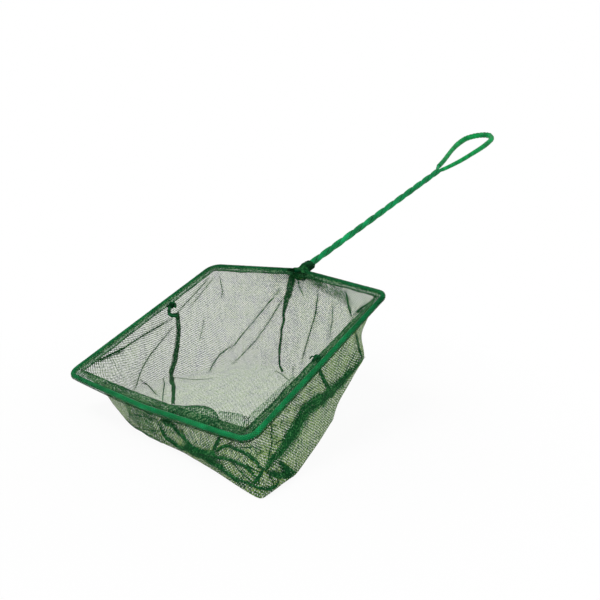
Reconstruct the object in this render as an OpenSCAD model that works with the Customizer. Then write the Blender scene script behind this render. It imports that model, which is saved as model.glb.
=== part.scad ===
// Aquarium hand net: a coated wire rim with a twisted handle and a hang loop, and a mesh bag on the rim.
// The bag's bottom lies on a level table and the rim leans forward over it, with the handle rising behind.
// The frame is drawn flat, with the throat at zero and the handle towards +X, and is then leaned and
// moved so that the middle of the grip is the origin.

/* [Rim] */
// Width between the centre lines of the side rails
rim_w = 150; // [110:1:200]
// Length of each side rail
rim_side = 135; // [100:1:180]
// How far the back corners lie before the throat
rim_peak = 10.5; // [4:0.5:20]
// How far the vertex of the bowed front rail lies before the front corners
front_bow = 5.8; // [3:0.1:8]
// Sideways place of the throat, to the right of the rim's middle
throat_shift = 1; // [0:0.5:6]
// Bend radius of the right back corner and the left front corner
corner_r = 6.2; // [6:0.1:12]
// Bend radius of the left back corner
round_corner_r = 9; // [6:0.5:12]
// Bend radius of the right front corner
soft_corner_r = 7.5; // [7:0.5:20]
// Bend radius of the bowed front rail
bow_r = 760; // [300:10:900]
// Bend radius where each wire turns out of the rim into the handle
throat_r = 4; // [3:0.1:5]
// Lean of the rim's plane in degrees, its front edge down
rim_lean = 21.4; // [5:0.1:30]

/* [Wire] */
// Diameter of the steel wire
wire_d = 1.8; // [1.2:0.1:2.4]
// Thickness of the plastic coat
coat_t = 0.55; // [0.3:0.05:0.8]
// Gap between the two wires in the handle
wire_gap = 0.1; // [0.05:0.05:0.4]
// Thickness of each rounded side of the coat on the twisted handle
lobe_w = 4; // [3.4:0.1:4.4]
// Thickness of the handle at the shallow groove between its two wires
groove_w = 3.4; // [2.4:0.1:3.8]
// Wall of the soft sleeve on the hang loop
sleeve_t = 0.55; // [0.3:0.05:1]

/* [Handle] */
// Length of the straight wires between the throat and the twist
lead_len = 6.7; // [5:0.1:15]
// Length of one full turn of the twist
twist_pitch = 25.9; // [18:0.1:40]
// Turns of the twist
twist_turns = 6.5; // [4.5:1:8.5]
// Sideways bend of the handle to the right, in degrees
handle_bend = 7; // [0:0.5:12]
// Place of the grip's middle along the handle, from the throat
grip_at = 100; // [60:1:120]

/* [Hang loop] */
// Reach of the loop beyond the twist
loop_len = 82; // [60:1:110]
// Width of the loop between centre lines
loop_w = 26.5; // [22:0.5:36]
// Bend radius at the loop's tip
loop_r = 12; // [9:0.5:12]
// Distance from the end of the twist to the start of the sleeve
sleeve_start = 3; // [2.8:0.1:6]
// Distance from the sleeve's cut end to the loop's last bend
sleeve_gap = 2; // [1.6:0.1:8]

/* [Bag] */
// Height of the throat above the table
throat_h = 76.2; // [70:0.1:110]
// Thickness of the mesh with its folds
panel_t = 0.9; // [0.6:0.1:1.2]
// How far the bag's wall bulges between the hem and its foot
wall_bulge = 3; // [0:0.5:6]
// Inset of the ends of the bag's bottom fold from the foot of the wall
fold_inset = 6; // [4:0.5:12]

/* [Hem] */
// Thickness of one layer of the hem round the rim
hem_t = 0.45; // [0.3:0.05:0.8]
// Thickness of the hem's flat double band
band_t = 0.8; // [0.5:0.1:1.2]
// Width of the hem, from the rail's centre line to its sewn edge
hem_w = 5.5; // [4.5:0.1:6]
// How far the hem stops short of the throat on each side
hem_stop = 6; // [5.5:0.5:14]

/* [Stitching] */
// Spacing of the hem's stitches
stitch_pitch = 4; // [3:0.5:8]
// Length of one stitch
stitch_len = 2.6; // [1.5:0.1:2.8]
// Width and height of one stitch
stitch_d = 0.5; // [0.3:0.05:0.7]
// Distance from the stitches to the hem's sewn edge
stitch_inset = 0.9; // [0.6:0.1:1.4]

/* [Seams] */
// Width of the thread bead on each side seam
seam_w = 2; // [1.2:0.1:3]
// Width of the pleat below the throat
pleat_w = 3.4; // [2:0.1:5]
// Height of the beads and the pleat above the mesh
bead_h = 1.1; // [0.6:0.1:1.6]
// Diameter of the knots at the heads of the side seams
knot_d = 4.2; // [3:0.1:5]
// Length of each knot's thread tail
tail_len = 5; // [4:0.5:9]

/* [Throat] */
// Diameter of the whipping thread
thread_d = 0.6; // [0.5:0.05:0.8]
// Turns of the whipping
whip_turns = 4; // [3:1:6]
// Gap between neighbouring turns
whip_gap = 0.5; // [0.46:0.01:0.7]
// Thickness of the bunched cloth at the throat
gather_t = 2.4; // [1.6:0.1:3.5]

/* [Hidden] */
$fn = 48;

coat_d = wire_d + 2*coat_t;
sleeve_d = coat_d + 2*sleeve_t;
hem_d = coat_d + 2*hem_t;
// Half the distance between the two wires, the handle's greatest half width, and the distance of
// its rounded sides' centres from its middle
strand = (wire_d + wire_gap)/2;
pair_r = strand + coat_d/2;
lobe_out = pair_r - lobe_w/2;
twist_len = twist_turns*twist_pitch;
// Small clearance where two places must not fall together
clear = 0.1;
// Place along the handle where the bends of the throat have ended
throat_end = throat_r + clear;

// Directions along the handle and across it, to the left, in the rim's plane
along_handle = [cos(handle_bend), -sin(handle_bend)];
across_handle = [sin(handle_bend), cos(handle_bend)];

// Corners of the rim: the left throat bend, then round to the left, and the right throat bend last
left_y = rim_w/2 + throat_shift;
right_y = left_y - rim_w;
front_x = -rim_peak - rim_side;
corners = [across_handle*strand, [-rim_peak, left_y], [front_x, left_y],
    [front_x - front_bow, (left_y + right_y)/2], [front_x, right_y], [-rim_peak, right_y],
    -across_handle*strand];
corner_radii = [throat_r, round_corner_r, corner_r, bow_r, soft_corner_r, corner_r, throat_r];

// The side seams stand at these shares of the side rails, counted from the back
left_seam_share = 0.38;
right_seam_share = 0.52;
left_head = between(corners[1], corners[2], left_seam_share);
right_head = between(corners[5], corners[4], right_seam_share);

// Corners of the loop's wire, along the handle and across it from the end of the twist. The shares
// are of the loop's length and of its width, and the first and last points are the two wires.
loop_shares = [[0.078, -0.136], [0.268, -0.291], [0.683, -0.423], [0.915, -0.362], [1.012, -0.019],
    [0.983, 0.358], [0.884, 0.615], [0.707, 0.619], [0.524, 0.509], [0.244, 0.272], [0.084, 0.177]];
loop_radii = [20, 100, 90, loop_r*1.3, loop_r*0.75, loop_r*1.15, loop_r*1.15, 60, 120, 100, 9];
loop_mid = [for (p = loop_shares) [p[0]*loop_len, p[1]*loop_w]];
loop_path = concat([[0, -strand]], loop_mid, [[0, strand]]);

function unit(v) = v/norm(v);
function between(a, b, share) = a + (b - a)*share;
function left_of(v) = [-v[1], v[0]];
function flat(p) = [p[0], p[1], 0];

// Signed turn of a path at its middle point q, to the left positive
function turn(p, q, s) = let (u = unit(q - p), v = unit(s - q))
    atan2(u[0]*v[1] - u[1]*v[0], u*v);
// Length of straight wire that the bend at point i takes up
function bend_len(pts, radii, i) = i == 0 || i == len(pts) - 1 ? 0
    : radii[i - 1]*tan(abs(turn(pts[i - 1], pts[i], pts[i + 1]))/2);
// Path moved sideways to its left by w: where the moved runs meet, and square to both ends
function moved(pts, w) = [for (i = [0:len(pts) - 1])
    let (a = unit(pts[max(i, 1)] - pts[max(i, 1) - 1]),
        b = unit(pts[min(i, len(pts) - 2) + 1] - pts[min(i, len(pts) - 2)]),
        half = unit(left_of(a) + left_of(b)))
    pts[i] + half*w/(half*left_of(a))];

// Points of a rounded path, with each bend as short chords
least_steps = 3;
step_angle = 15;
function rounded(pts, radii) = [for (i = [0:len(pts) - 1])
    let (r = i == 0 || i == len(pts) - 1 ? 0 : radii[i - 1])
    if (r <= 0) pts[i]
    else let (t = turn(pts[i - 1], pts[i], pts[i + 1]), side = t > 0 ? 1 : -1,
            u = unit(pts[i] - pts[i - 1]), steps = max(least_steps, ceil(abs(t)/step_angle)),
            centre = pts[i] - u*bend_len(pts, radii, i) + left_of(u)*side*r)
        each [for (k = [0:steps]) let (a = abs(t)*k/steps)
            centre + r*(u*sin(a) - left_of(u)*side*cos(a))]];

// A cross section set at p and turned by the angle phi, and one ring of it at each point of a path
function placed(p, left, up, section, phi = 0) = [for (q = section)
    p + left*(q[0]*cos(phi) - q[1]*sin(phi)) + up*(q[0]*sin(phi) + q[1]*cos(phi))];
function along(path, section) = [for (i = [0:len(path) - 1])
    let (way = unit(path[min(i + 1, len(path) - 1)] - path[max(i - 1, 0)]))
    placed(flat(path[i]), flat(left_of(way)), [0, 0, 1], section)];

// Cross section of a wire or of the tube round it
sides = 10;
function disc(d, count = sides) = [for (k = [0:count - 1]) let (a = 360*(k + 0.5)/count) [cos(a), sin(a)]*d/2];

// Closed skin through rings of points, with a bore where inner rings are given
module skin(rings, bore = []) {
    n = len(rings) - 1;
    m = len(rings[0]);
    inner = (n + 1)*m;
    function quad(a, b, c, d) = [[a, b, c], [a, c, d]];
    function between_rings(i, j, flip) = [for (k = [0:m - 1]) let (q = (k + 1) % m)
        each flip ? quad(i + k, i + q, j + q, j + k) : quad(i + k, j + k, j + q, i + q)];
    outside = [for (i = [0:n - 1]) each between_rings(i*m, (i + 1)*m, false)];
    if (len(bore) == 0) {
        ends = [[for (k = [0:m - 1]) k], [for (k = [m - 1:-1:0]) n*m + k]];
        polyhedron(points = [for (r = rings) each r], faces = concat(outside, ends));
    } else {
        inside = [for (i = [0:n - 1]) each between_rings(inner + i*m, inner + (i + 1)*m, true)];
        ends = concat(between_rings(0, inner, true), between_rings(n*m, inner + n*m, false));
        polyhedron(points = concat([for (r = rings) each r], [for (r = bore) each r]),
            faces = concat(outside, inside, ends));
    }
}

// Places in the handle's own frame, the rim's frame and the finished part
module on_handle() {
    rotate([0, 0, -handle_bend]) children();
}
function leaned(p) = [p[0]*cos(rim_lean) - p[2]*sin(rim_lean), p[1],
    p[0]*sin(rim_lean) + p[2]*cos(rim_lean)];
grip_mid = leaned(flat(along_handle*grip_at));
module in_place() {
    translate(-grip_mid) children();
}
module on_rim() {
    in_place() rotate([0, -rim_lean, 0]) children();
}

// The rim's wire with its two leads into the handle. The coat stops within the bends of the throat,
// before its two sides would meet.
rim_line = rounded(concat([corners[0] + along_handle*lead_len], corners,
    [corners[6] + along_handle*lead_len]), corner_radii);
coat_skip = 3;
coat_line = [for (i = [coat_skip:len(rim_line) - 1 - coat_skip]) rim_line[i]];

module rim_wire() {
    color("silver") on_rim() skin(along(rim_line, disc(wire_d)));
}

module rim_coat() {
    color("seagreen") on_rim() skin(along(coat_line, disc(coat_d)), along(coat_line, disc(wire_d)));
}

// The twist is left-handed and starts at the end of the leads
steps_per_turn = 9;
twist_steps = round(steps_per_turn*twist_turns);
function twist_at(x) = x < lead_len ? 0 : -360*(x - lead_len)/twist_pitch;
function handle_ring(x, section) = placed([x, 0, 0], [0, 1, 0], [0, 0, 1], section, twist_at(x));
function twisted(section) = [for (i = [0:twist_steps]) handle_ring(lead_len + twist_len*i/twist_steps, section)];
strand_sides = 12;
function strand_section(side) = [for (q = disc(wire_d, strand_sides)) q + [side*strand, 0]];

module handle_wire_left() {
    color("silver") on_rim() on_handle() skin(twisted(strand_section(1)));
}

module handle_wire_right() {
    color("silver") on_rim() on_handle() skin(twisted(strand_section(-1)));
}

// Outline round both wires: two outer half circles of diameter d whose centres lie out from the middle,
// and the groove between them
strand_step = 360/strand_sides;
function pair_section(out, d, waist) = let (half = [for (a = [-90 + strand_step/2:strand_step:90])
        [out, 0] + [cos(a), sin(a)]*d/2])
    concat(half, [[0, waist/2]], -half, [[0, -waist/2]]);
function with_leads(section) = concat([handle_ring(throat_end, section)], twisted(section));

module handle_coat() {
    color("mediumseagreen") on_rim() on_handle()
        skin(with_leads(pair_section(lobe_out, lobe_w, groove_w)),
            with_leads(pair_section(strand, wire_d, wire_d)));
}

module on_loop() {
    on_rim() on_handle() translate([lead_len + twist_len, 0, 0]) children();
}

// The loop's coat starts where its two sides have parted
loop_line = rounded(loop_path, loop_radii);
loop_end = len(loop_line) - 1;
parted_share = 0.3;
loop_coat_line = concat([between(loop_line[0], loop_line[1], parted_share)],
    [for (i = [1:loop_end - 1]) loop_line[i]],
    [between(loop_line[loop_end], loop_line[loop_end - 1], parted_share)]);

module loop_wire() {
    color("silver") on_loop() skin(along(loop_line, disc(wire_d)));
}

module loop_coat() {
    color("seagreen") on_loop() skin(along(loop_coat_line, disc(coat_d)), along(loop_coat_line, disc(wire_d)));
}

// The sleeve covers the loop from just after the twist to its last bend, and is cut off blunt
loop_last = len(loop_path) - 1;
sleeve_from = loop_path[0] + unit(loop_path[1] - loop_path[0])*sleeve_start;
sleeve_to = loop_path[loop_last - 1] + unit(loop_path[loop_last - 2] - loop_path[loop_last - 1])*sleeve_gap;
sleeve_line = rounded(concat([sleeve_from], [for (i = [1:loop_last - 2]) loop_path[i]], [sleeve_to]),
    [for (i = [0:len(loop_radii) - 2]) loop_radii[i]]);
module loop_sleeve() {
    color("mediumseagreen") on_loop() skin(along(sleeve_line, disc(sleeve_d)), along(sleeve_line, disc(coat_d)));
}

// The hem's cross section: a wrap round the coated wire, and the flat double band that points inwards
band_root = hem_d/2 + hem_t;
wrap_angles = [for (k = [0:sides - 1]) 360*(k + 0.5)/sides];
function wrap_ring(d) = [for (a = wrap_angles) [cos(a), sin(a)]*d/2];
hem_section = concat([[hem_w, -band_t/2], [hem_w, band_t/2], [band_root, band_t/2]], wrap_ring(hem_d),
    [[band_root, -band_t/2]]);
bore_x = coat_d/2*cos(wrap_angles[0]);
bore_y = coat_d/2*sin(wrap_angles[0]);
hem_bore = concat([[bore_x, -bore_y/3], [bore_x, bore_y/3], [bore_x, bore_y*2/3]], wrap_ring(coat_d),
    [[bore_x, -bore_y*2/3]]);
module hem(line) {
    skin(along(line, hem_section), along(line, hem_bore));
}

// Runs of the hem between the side seams, and from each side seam to the throat
left_stop = between(corners[0], corners[1], hem_stop/norm(corners[1] - corners[0]));
right_stop = between(corners[6], corners[5], hem_stop/norm(corners[5] - corners[6]));
front_path = [left_head, corners[2], corners[3], corners[4], right_head];
front_radii = [corner_r, bow_r, soft_corner_r];
back_left_path = [left_stop, corners[1], left_head];
back_right_path = [right_head, corners[5], right_stop];

module front_hem() {
    color("darkgreen") on_rim() hem(rounded(front_path, front_radii));
}

module back_left_hem() {
    color("darkgreen") on_rim() hem(rounded(back_left_path, [round_corner_r]));
}

module back_right_hem() {
    color("darkgreen") on_rim() hem(rounded(back_right_path, [corner_r]));
}

// Stitches on the band in each run that is long enough, clear of the ends at the knots
module stitch_row(a, b) {
    run = norm(b - a);
    count = floor((run - stitch_len)/stitch_pitch) + 1;
    first = (run - (count - 1)*stitch_pitch - stitch_len)/2;
    if (count > 0) translate(flat(a)) rotate([0, 0, atan2(b[1] - a[1], b[0] - a[0])])
        for (i = [0:count - 1])
            translate([first + i*stitch_pitch, -stitch_d/2, band_t/2]) cube([stitch_len, stitch_d, stitch_d]);
}
module stitching(pts, radii) {
    last = len(pts) - 1;
    w = hem_w - stitch_inset;
    trimmed = [for (i = [0:last]) i == 0 ? pts[0] + unit(pts[1] - pts[0])*knot_d/2
        : i == last ? pts[last] - unit(pts[last] - pts[last - 1])*knot_d/2
        : pts[i]];
    line = rounded(moved(trimmed, w), [for (r = radii) r - w]);
    for (i = [0:len(line) - 2]) stitch_row(line[i], line[i + 1]);
}

module front_hem_stitching() {
    color("black") on_rim() stitching(front_path, front_radii);
}

module back_hem_stitching() {
    color("black") on_rim() {
        stitching(back_left_path, [round_corner_r]);
        stitching(back_right_path, [corner_r]);
    }
}

// The bag's stations go round the rim to the left from the throat. Each names the corner before it,
// its share of the way to the next corner, and its foot on the table as shares of the side rail's
// length before the throat and of the rim's width to the left.
stations = [
    [0, 0.09, 0.00, 0.125], [0, 0.50, -0.04, 0.26], [1, 0.00, -0.12, 0.38], [1, 0.19, -0.28, 0.42],
    [1, left_seam_share, -0.45, 0.47], [1, 0.69, -0.64, 0.48], [2, 0.00, -0.84, 0.46],
    [2, 0.33, -0.935, 0.23], [2, 0.75, -0.975, 0.04], [3, 0.25, -0.98, -0.16], [3, 0.67, -1.01, -0.345],
    [4, 0.00, -1.045, -0.57], [4, 0.24, -0.82, -0.565], [4, 1 - right_seam_share, -0.58, -0.49],
    [4, 0.76, -0.36, -0.42], [5, 0.00, -0.21, -0.33], [5, 0.50, -0.09, -0.17], [5, 0.92, -0.03, -0.01]];
station_count = len(stations);
left_station = 4;
right_station = 13;

// A point inside the rim at a station, w inside the rails, on the underside of the hem
ring_corners = [[0, 0], corners[1], corners[2], corners[3], corners[4], corners[5]];
function inset_corner(i, w) = let (n = len(ring_corners), q = ring_corners[i % n],
        a = unit(q - ring_corners[(i + n - 1) % n]), b = unit(ring_corners[(i + 1) % n] - q),
        half = unit(left_of(a) + left_of(b)))
    q + half*w/(half*left_of(a));
function hem_point(s, w) =
    leaned([each between(inset_corner(s[0], w), inset_corner(s[0] + 1, w), s[1]), -band_t/2]);
function foot_point(s) = [s[2]*rim_side, s[3]*rim_w, -throat_h];

// The wall in rows from the hem down to the foot, bulging outwards, then the foot
wall_rows = 6;
hem_lap = 0.5;
function wall_point(i, j) = let (s = stations[(i + station_count) % station_count],
        top = hem_point(s, hem_w - hem_lap - panel_t), foot = foot_point(s),
        mid = between(hem_point(stations[0], hem_w), hem_point(stations[8], hem_w), 1/2),
        out = unit([foot[0] - mid[0], foot[1] - mid[1], 0]), share = j/wall_rows)
    between(top, foot, share) + out*wall_bulge*sin(180*share);
function wall_normal(i, j) = let (a = wall_point(i + 1, j) - wall_point(i - 1, j),
        b = wall_point(i, min(j + 1, wall_rows)) - wall_point(i, max(j - 1, 0)))
    unit(cross(a, b));
function wall_inner(i, j) = let (s = stations[(i + station_count) % station_count])
    j == 0 ? hem_point(s, hem_w - hem_lap)
    : j == wall_rows ? foot_point(s) + wall_inward(i)*panel_t + [0, 0, panel_t]
    : wall_point(i, j) + wall_normal(i, j)*panel_t;
function wall_inward(i) = let (n = wall_normal(i, wall_rows)) unit([n[0], n[1], 0]);

// The cloth is folded across the floor, between two points just inside the feet of the side seams
fold_left = foot_point(stations[left_station]) + wall_inward(left_station)*fold_inset;
fold_right = foot_point(stations[right_station]) + wall_inward(right_station)*fold_inset;

// One half of the bag: the wall between two stations and its part of the floor, as a closed skin. The floor's
// rows run from the foot to the fold.
floor_rows = 3;
rows = wall_rows + floor_rows;
function fold_point(first, i, n) = between(fold_left, fold_right, first == left_station ? i/n : 1 - i/n);
function outer_point(first, i, n, j) = j <= wall_rows ? wall_point(first + i, j)
    : between(wall_point(first + i, wall_rows), fold_point(first, i, n), (j - wall_rows)/floor_rows);
function inner_point(first, i, n, j) = j <= wall_rows ? wall_inner(first + i, j)
    : between(wall_inner(first + i, wall_rows), fold_point(first, i, n) + [0, 0, panel_t],
        (j - wall_rows)/floor_rows);
module panel(first, last) {
    n = last - first;
    outer = [for (i = [0:n]) for (j = [0:rows]) outer_point(first, i, n, j)];
    inner = [for (i = [0:n]) for (j = [0:rows]) inner_point(first, i, n, j)];
    count = len(outer);
    function at(i, j, c = 0) = i*(rows + 1) + j + c;
    quads = concat(
        [for (i = [0:n - 1]) for (j = [0:rows - 1]) [at(i, j), at(i + 1, j), at(i + 1, j + 1), at(i, j + 1)]],
        [for (i = [0:n - 1]) for (j = [0:rows - 1])
            [at(i, j, count), at(i, j + 1, count), at(i + 1, j + 1, count), at(i + 1, j, count)]],
        [for (i = [0:n - 1]) [at(i, 0), at(i, 0, count), at(i + 1, 0, count), at(i + 1, 0)]],
        [for (i = [0:n - 1]) [at(i, rows), at(i + 1, rows), at(i + 1, rows, count), at(i, rows, count)]],
        [for (j = [0:rows - 1]) [at(0, j), at(0, j + 1), at(0, j + 1, count), at(0, j, count)]],
        [for (j = [0:rows - 1]) [at(n, j), at(n, j, count), at(n, j + 1, count), at(n, j + 1)]]);
    polyhedron(points = concat(outer, inner),
        faces = [for (q = quads) each [[q[1], q[2], q[3]], [q[1], q[3], q[0]]]]);
}

module front_panel() {
    color("darkolivegreen") in_place() panel(left_station, right_station);
}

module back_panel() {
    color("olivedrab") in_place() panel(right_station, station_count + left_station);
}

// A bead that lies on the mesh along the points pts: its width across, and its height along the
// normals. Its underside is flat, and its upper edges are cut off.
bead_shares = [[-0.5, 0], [0.5, 0], [0.5, 0.5], [0.25, 1], [-0.25, 1], [-0.5, 0.5]];
module bead(pts, normals, w, h) {
    n = len(pts) - 1;
    skin([for (i = [0:n]) let (way = unit(pts[min(i + 1, n)] - pts[max(i - 1, 0)]))
        placed(pts[i], unit(cross(normals[i], way)), normals[i], [for (p = bead_shares) [p[0]*w, p[1]*h]])]);
}
// The bead starts and ends a share of one row away from the hem and the foot
end_share = 0.3;
// Its underside lies a share of its width off the mesh, clear of the wall's corner there
lift_share = 0.07;
module wall_bead(i, w) {
    normals = [for (j = [0:wall_rows]) wall_normal(i, j)];
    line = concat([between(wall_inner(i, 0), wall_inner(i, 1), end_share)],
        [for (j = [1:wall_rows - 1]) wall_inner(i, j)],
        [between(wall_inner(i, wall_rows), wall_inner(i, wall_rows - 1), end_share)]);
    bead(line + normals*w*lift_share, normals, w, bead_h);
}

module left_seam() {
    color("darkgreen") in_place() wall_bead(left_station, seam_w);
}

module right_seam() {
    color("darkgreen") in_place() wall_bead(right_station, seam_w);
}

module throat_pleat() {
    color("darkgreen") in_place() wall_bead(station_count, pleat_w);
}

// Knot on the hem at the head of a side seam, flat underneath, with a thread tail that points inwards
module knot(head, inward) {
    translate([head[0], head[1] + inward*(band_root + knot_d/2), band_t/2]) {
        difference() {
            sphere(d = knot_d);
            translate([-knot_d, -knot_d, -2*knot_d]) cube(2*knot_d);
        }
        translate([0, 0, stitch_d]) rotate([-90*inward, 0, 0]) cylinder(h = knot_d/2 + tail_len, r = stitch_d);
    }
}

module left_seam_knot() {
    color("darkslategray") on_rim() knot(left_head, -1);
}

module right_seam_knot() {
    color("darkslategray") on_rim() knot(right_head, 1);
}

// The loose thread end on the hem at the right front corner
module thread_end() {
    color("darkslategray") on_rim() translate(flat(moved(front_path, hem_w)[3]) + [0, 0, band_t/2])
        rotate([0, 0, 45]) translate([0, -stitch_d, 0]) cube([tail_len, 2*stitch_d, stitch_d]);
}

// The bunched cloth that joins the two ends of the hem inside the throat
throat_path = [right_stop, [0, 0], left_stop];
module throat_gather() {
    color("darkgreen") on_rim() translate([0, 0, -band_t/2]) linear_extrude(height = gather_t)
        let (near = moved(throat_path, coat_d/2), far = moved(throat_path, hem_w))
            polygon(concat(near, [far[2], far[1], far[0]]));
}

// The whipping: one thread wound round the handle's coat at the start of the twist. Each turn is half
// a circle about each rounded side, with a straight step between them.
whip_rise = thread_d + whip_gap;
whip_r = (lobe_w + thread_d)/2;
half_rings = 11;
whip_rings = 2*half_rings;
thread_sides = 6;
function whip_x(k) = throat_end + thread_d/2 + whip_rise*k/whip_rings;
function whip_way(k) = let (a = -90 + 180*(k % half_rings)/(half_rings - 1)) [cos(a), sin(a)]
    *(k % whip_rings < half_rings ? 1 : -1);
function whip_section(k) = [(k % whip_rings < half_rings ? 1 : -1)*lobe_out, 0] + whip_way(k)*whip_r;
function whip_point(k) = handle_ring(whip_x(k), [whip_section(k)])[0];
function whip_out(k) = handle_ring(whip_x(k), [whip_section(k) + whip_way(k)])[0] - whip_point(k);
whip_least = min([for (k = [0:(whip_turns - 1)*whip_rings]) for (m = [-3:3])
    norm(whip_point(k + whip_rings + m) - whip_point(k))]) - thread_d;
echo(whipping_least_gap = whip_least);

module throat_whipping() {
    color("darkslategray") on_rim() on_handle() skin([for (k = [0:whip_turns*whip_rings])
        placed(whip_point(k), whip_out(k), [1, 0, 0], disc(thread_d, thread_sides))]);
}

rim_wire();
rim_coat();
handle_wire_left();
handle_wire_right();
handle_coat();
loop_wire();
loop_coat();
loop_sleeve();
front_hem();
back_left_hem();
back_right_hem();
front_hem_stitching();
back_hem_stitching();
front_panel();
back_panel();
left_seam();
right_seam();
left_seam_knot();
right_seam_knot();
throat_gather();
throat_whipping();
throat_pleat();
thread_end();
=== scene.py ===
# Aquarium hand net: the looks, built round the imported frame. Plans are in millimetres from the throat,
# in the rim's plane or in the handle's, and only place() and onTable() turn them into metres of the frame.
from math import asin, atan2, ceil, cos, degrees, exp, hypot, pi, radians, sin, sqrt, tan

import bmesh
import bpy
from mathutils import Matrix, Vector, noise
from mathutils.bvhtree import BVHTree
from mathutils.kdtree import KDTree


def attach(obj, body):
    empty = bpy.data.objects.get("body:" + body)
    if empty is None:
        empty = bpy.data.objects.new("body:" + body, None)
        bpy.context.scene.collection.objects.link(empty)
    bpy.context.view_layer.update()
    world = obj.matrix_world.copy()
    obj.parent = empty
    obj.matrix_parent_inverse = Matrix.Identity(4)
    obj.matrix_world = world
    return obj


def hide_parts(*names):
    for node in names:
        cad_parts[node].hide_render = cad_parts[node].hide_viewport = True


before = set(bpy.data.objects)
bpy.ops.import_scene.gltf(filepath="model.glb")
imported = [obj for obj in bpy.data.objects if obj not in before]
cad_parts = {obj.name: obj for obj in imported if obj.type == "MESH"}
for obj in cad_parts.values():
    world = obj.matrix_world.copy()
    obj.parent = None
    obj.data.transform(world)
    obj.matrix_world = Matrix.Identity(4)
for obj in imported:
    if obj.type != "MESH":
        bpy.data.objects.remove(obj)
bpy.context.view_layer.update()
scene = bpy.context.scene

# ---- the wire's plan, as in the part's source
rim = {
    "left": 76, "right": -74, "back": -10.5, "front": -145.5, "bow": 5.8, "lean": 21.4,
    "cornerRadius": 6.2, "roundRadius": 9, "softRadius": 7.5, "bowRadius": 760, "throatRadius": 4,
}
handle = {
    "bend": 7, "lead": 6.7, "pitch": 25.9, "turns": 6.5, "strand": 0.95, "coat": 2.9,
    "lobe": 4.0, "lobeOut": 0.4, "groove": 0.3, "gripAt": 100,
}
tableHeight = -76.2
lean, bend = radians(rim["lean"]), radians(handle["bend"])
twistLength = handle["turns"] * handle["pitch"]
gripMid = Vector((
    handle["gripAt"] * cos(bend) * cos(lean), -handle["gripAt"] * sin(bend),
    handle["gripAt"] * cos(bend) * sin(lean),
))


def onTable(p):  # millimetres from the throat, level with the table
    return (Vector(p) - gripMid) * 0.001


def leaned(x, y, z):  # from the rim's plane to level with the table
    return Vector((x * cos(lean) - z * sin(lean), y, x * sin(lean) + z * cos(lean)))


def place(x, y, z=0.0):  # in the rim's plane
    return onTable(leaned(x, y, z))


def onHandle(u, v, w=0.0):  # along the handle, to its left and off the rim's plane
    return place(u * cos(bend) + v * sin(bend), v * cos(bend) - u * sin(bend), w)


def leftOf(v):
    return Vector((-v.y, v.x))


def wobble(x, y, z):  # smooth and random from -1 to 1, the same each run
    return noise.noise(Vector((x, y, z)))


def clamped(value):
    return max(0.0, min(1.0, value))


def roundedLine(points, radii, stepAngle=6.0, stepLength=2.4):  # (point, left normal) along a rounded path
    points = [Vector(p) for p in points]
    line, end = [], points[0]
    for i, r in enumerate([*radii, 0], 1):
        way = (points[i] - points[i - 1]).normalized()
        after = (points[i + 1] - points[i]).normalized() if r else way
        angle = atan2(way.x * after.y - way.y * after.x, way.dot(after))
        start = points[i] - way * r * tan(abs(angle) / 2)
        count = max(1, round((start - end).length / stepLength))
        line += [(end.lerp(start, k / count), leftOf(way)) for k in range(count + (r == 0))]
        side = 1 if angle > 0 else -1
        centre = start + leftOf(way) * side * r
        steps = max(2, ceil(degrees(abs(angle)) / stepAngle))
        turned = [abs(angle) * k / steps for k in range(steps + 1)]
        spokes = [way * sin(a) - leftOf(way) * side * cos(a) for a in turned]
        if r:
            line += [(centre + r * spoke, -spoke * side) for spoke in spokes[:-1]]
            end = centre + r * spokes[-1]
    return line


def lengths(points):
    total = [0.0]
    for a, b in zip(points, points[1:]):
        total.append(total[-1] + (b - a).length)
    return total


def along(table, travel, s):  # value at distance s along a line of samples
    for a, b, va, vb in zip(travel, travel[1:], table, table[1:]):
        if a <= s <= b:
            return va.lerp(vb, (s - a) / max(b - a, 1e-9))
    return table[-1]


alongHandle = Vector((cos(bend), -sin(bend)))
acrossHandle = Vector((sin(bend), cos(bend)))
rimCorners = [
    acrossHandle * handle["strand"], Vector((rim["back"], rim["left"])), Vector((rim["front"], rim["left"])),
    Vector((rim["front"] - rim["bow"], (rim["left"] + rim["right"]) / 2)),
    Vector((rim["front"], rim["right"])), Vector((rim["back"], rim["right"])), -acrossHandle * handle["strand"],
]
cornerRadii = [rim["roundRadius"], rim["cornerRadius"], rim["bowRadius"], rim["softRadius"], rim["cornerRadius"]]


# ---- mesh and material helpers
def newObject(name, data):
    made = bpy.data.objects.new(name, data)
    scene.collection.objects.link(made)
    return made


# the order of a face's corners, as (line, step), which sets the side that it shows
alongFirst, acrossFirst = ((0, 0), (1, 0), (1, 1), (0, 1)), ((0, 0), (0, 1), (1, 1), (1, 0))
flapOrder = ((1, 0), (1, 1), (0, 1), (0, 0))


def gridFaces(gaps, steps, plan, order, closed=False):  # faces between lines of points, and the cloth's plan on them
    width = steps if closed else steps + 1
    faces, uvs = [], []
    for i in range(gaps):
        for j in range(steps):
            corners = [(i + a, j + b) for a, b in order]
            faces.append([a * width + b % width for a, b in corners])
            uvs.append([plan(a, b, j) for a, b in corners])
    return faces, uvs


def newPiece(name, verts, faces, uvs, gathersAndShade):  # per point, from 0 to 1: how bunched the net is, which also darkens it as painted shade
    mesh = bpy.data.meshes.new(name)
    mesh.from_pydata([tuple(v) for v in verts], [], faces)
    mesh.attributes.new("gatherAndShade", "FLOAT", "POINT").data.foreach_set("value", gathersAndShade)
    layer = mesh.uv_layers.new(name="clothPlan")
    layer.data.foreach_set("uv", [c for face in uvs for uv in face for c in uv])
    mesh.polygons.foreach_set("use_smooth", [True] * len(mesh.polygons))
    mesh.update()
    return newObject(name, mesh)


def dress(piece, material):
    piece.data.materials.clear()
    piece.data.materials.append(material)


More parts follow.
